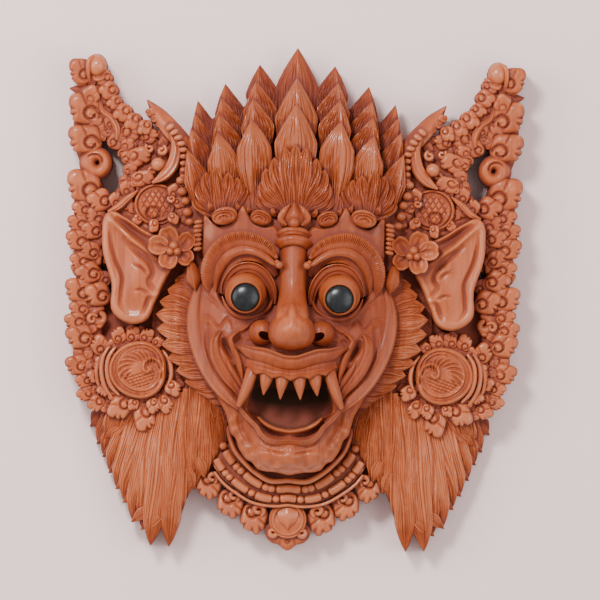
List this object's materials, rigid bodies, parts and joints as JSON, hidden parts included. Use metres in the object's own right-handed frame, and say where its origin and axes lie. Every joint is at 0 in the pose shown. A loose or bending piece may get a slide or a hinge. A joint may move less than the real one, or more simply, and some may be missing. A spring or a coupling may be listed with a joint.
{
  "type": "carved wall mask",
  "caption": "Carved wooden mask of a fanged mythical beast with a feathered crown, scrolled side wings, long ears and inlaid dark pupils, lying on its flat, hollowed back",
  "frame": {"origin": "middle of the footprint, on the plane of the flat back that the mask lies on", "axes": "+X to the beholder's right, +Y towards the crown, +Z the way that the face looks"},
  "size_m": [0.2908, 0.3196, 0.1032],
  "materials": {
    "carved_wood": "waxed, semi-gloss",
    "black_horn": "polished"
  },
  "bodies": {
    "root": {"carved_mask": "carved_wood", "pupil_left": "black_horn", "pupil_right": "black_horn"}
  },
  "joints": []
}
